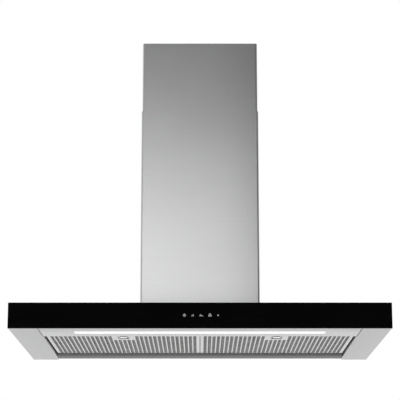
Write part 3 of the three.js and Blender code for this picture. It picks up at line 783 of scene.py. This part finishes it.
def settle(obj):
    """Applies an object's modifiers."""
    result = bpy.data.meshes.new_from_object(obj.evaluated_get(bpy.context.evaluated_depsgraph_get()))
    obj.modifiers.clear()
    obj.data = result


SCREW_HEAD = [(0, 0), (2.6, 0), (3.2, -0.12), (3.4, -0.35), (3.4, -0.5), (1.8, -0.55), (1.8, -2.2), (0, -2.2)]
RECESS_ARMS = [(1.7, 0.35), (0.35, 1.7)]


def flue_screws():
    """Pan-head screws with a cross recess, turned to face out of the flue's sides."""
    steel = SLOT_FINISH["dark_steel"]
    for side, sign in (("left", -1), ("right", 1)):
        low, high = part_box(f"flue_screw_{side}")
        centre = (low + high) / 2
        face = high.x if sign > 0 else low.x
        place = moved(face, centre.y, centre.z) @ Matrix.Rotation(sign * math.pi / 2, 4, "Y")
        body = turned([(r * MM, h * MM) for r, h in SCREW_HEAD], place)
        replaced = [f"flue_screw_{side}"]
        screw = assemble(f"cross_screw_{side}", [body], steel, "upper_flue", replaced)
        for index, (a, b) in enumerate(RECESS_ARMS):
            arm = brick((-a * MM, -b * MM, -1.2 * MM), (a * MM, b * MM, 0.5 * MM), 0.15 * MM)
            arm.transform(place)
            cutter = bpy.data.objects.new(f"recess_{side}_{index}", arm)
            cut = screw.modifiers.new(f"recess_{index}", "BOOLEAN")
            cut.operation, cut.object, cut.solver = "DIFFERENCE", cutter, "EXACT"
        settle(screw)


def motor_shaft():
    """The ground shaft, with chamfered ends and a clip groove, a little short of its bore."""
    low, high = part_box("motor_shaft")
    centre, end_gap = (low + high) / 2, 0.3
    length = (high.x - low.x) / MM - 2 * end_gap
    groove = length - 3
    profile = [
        (0, 0), (3.4, 0), (3.95, 0.6), (3.95, groove), (3.5, groove), (3.5, groove + 1),
        (3.95, groove + 1), (3.95, length - 0.6), (3.4, length), (0, length),
    ]
    place = moved(low.x + end_gap * MM, centre.y, centre.z) @ Matrix.Rotation(math.pi / 2, 4, "Y")
    shaft = turned([(r * MM, h * MM) for r, h in profile], place)
    assemble("ground_shaft", [shaft], SLOT_FINISH["dark_steel"], "impeller", ["motor_shaft"])


touch_marks()
gap_shade_strips()
flue_screws()
motor_shaft()
for side in ("left", "right"):
    low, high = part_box(f"filter_face_{side}")
    middle, half = (low.x + high.x) / 2, (high.x - low.x) / 2
    filter_face(side, middle, half)
    filter_net(side, middle, half)
    filter_latch(side, middle)
    latch_shade_cup(side, middle)
    latch_spring(side)

# ---------- stage, light and world ----------

FLOOR = {"half": 9.0, "drop": 1.6, "near_glow": 0.16, "far_glow": 0.9}


def make_floor():
    """A pale floor that glows towards its edge, to melt into the white, and doesn't show from below."""
    mesh = bpy.data.meshes.new("floor")
    half, height = FLOOR["half"], LOW.z - FLOOR["drop"]
    corners = [(-half, -half, height), (half, -half, height), (half, half, height), (-half, half, height)]
    mesh.from_pydata(corners, [], [(0, 1, 2, 3)])
    floor = bpy.data.objects.new("floor", mesh)
    bpy.context.scene.collection.objects.link(floor)
    shader = Shader("floor")
    speck = shader.noise(shader.place, 3.0, 3.0)
    shader.drive("Base Color", shader.ramp(speck, (0.3, grey(0.78)), (0.7, grey(0.82))))
    shader.fixed(Roughness=0.8, Emission_Color=(1, 1, 1, 1))
    x, y, _ = shader.split(shader.place)
    squares = shader.math("ADD", shader.math("POWER", x, 2.0), shader.math("POWER", y, 2.0))
    away = shader.math("DIVIDE", shader.math("SQRT", squares), half)
    glow = shader.between(shader.math("POWER", away, 1.6), FLOOR["near_glow"], FLOOR["far_glow"])
    shader.drive("Emission Strength", glow)
    see_through = shader.add("ShaderNodeBsdfTransparent")
    side = shader.add("ShaderNodeNewGeometry")
    shader.either(side.outputs["Backfacing"], shader.bsdf.outputs[0], see_through.outputs[0], shader.output)
    dress(floor, shader.material)


def make_softbox(name, place, width, height, radiance):
    """A rectangular area light of an even brightness, square to the Y axis and facing the hood."""
    data = bpy.data.lights.new(name, "AREA")
    data.shape = "RECTANGLE"
    data.size, data.size_y = width, height
    data.energy = radiance * math.pi * width * height
    light = bpy.data.objects.new(name, data)
    bpy.context.scene.collection.objects.link(light)
    light.location = place
    light.rotation_euler = Vector((0, -place[1], 0)).to_track_quat("-Z", "Y").to_euler()
    light.visible_camera = False


def make_world():
    """A white studio to the camera. To the hood it is bright on the left and behind, and dark in front."""
    world = bpy.data.worlds.new("studio")
    bpy.context.scene.world = world
    world.use_nodes = True
    nodes = Nodes(world.node_tree)
    coords = nodes.add("ShaderNodeTexCoord")
    x, y, _ = nodes.split(coords.outputs["Generated"])
    leftwards = nodes.math("MAXIMUM", nodes.math("MULTIPLY", x, -1.0), 0.0)
    left = nodes.math("MULTIPLY", nodes.math("POWER", leftwards, 2.0), 0.55)
    behind = nodes.math("ADD", 0.5, nodes.math("MULTIPLY", y, 0.7))
    across = nodes.math("MULTIPLY", nodes.math("MULTIPLY", x, y), 0.25)
    level = nodes.math("MAXIMUM", nodes.math("ADD", nodes.math("ADD", left, behind), across), 0.1)
    studio = nodes.add("ShaderNodeBackground")
    nodes.link(level, studio.inputs["Strength"])
    white = nodes.add("ShaderNodeBackground")
    white.inputs["Color"].default_value = (1, 1, 1, 1)
    path = nodes.add("ShaderNodeLightPath")
    output = nodes.add("ShaderNodeOutputWorld")
    nodes.either(path.outputs["Is Camera Ray"], studio.outputs[0], white.outputs[0], output)


# Name, middle, width, height and brightness. The first three stand in front, with a gap in height that keeps
# them out of the glass, and the last stands behind, low, for the underside.
SOFTBOXES = [
    ("low_softbox", (-0.24, -2.3, -1.04), 2.24, 1.1, 1.14),
    ("high_softbox", (-0.45, -2.3, -0.12), 1.96, 0.4, 2.0),
    ("left_softbox", (-1.00, -2.2, -0.09), 1.5, 0.46, 0.35),
    ("rear_softbox", (0.60, 2.4, -1.45), 3.4, 1.1, 0.06),
]

make_camera()
make_floor()
make_world()
for softbox in SOFTBOXES:
    make_softbox(*softbox)
bpy.context.scene.view_settings.view_transform = "Standard"
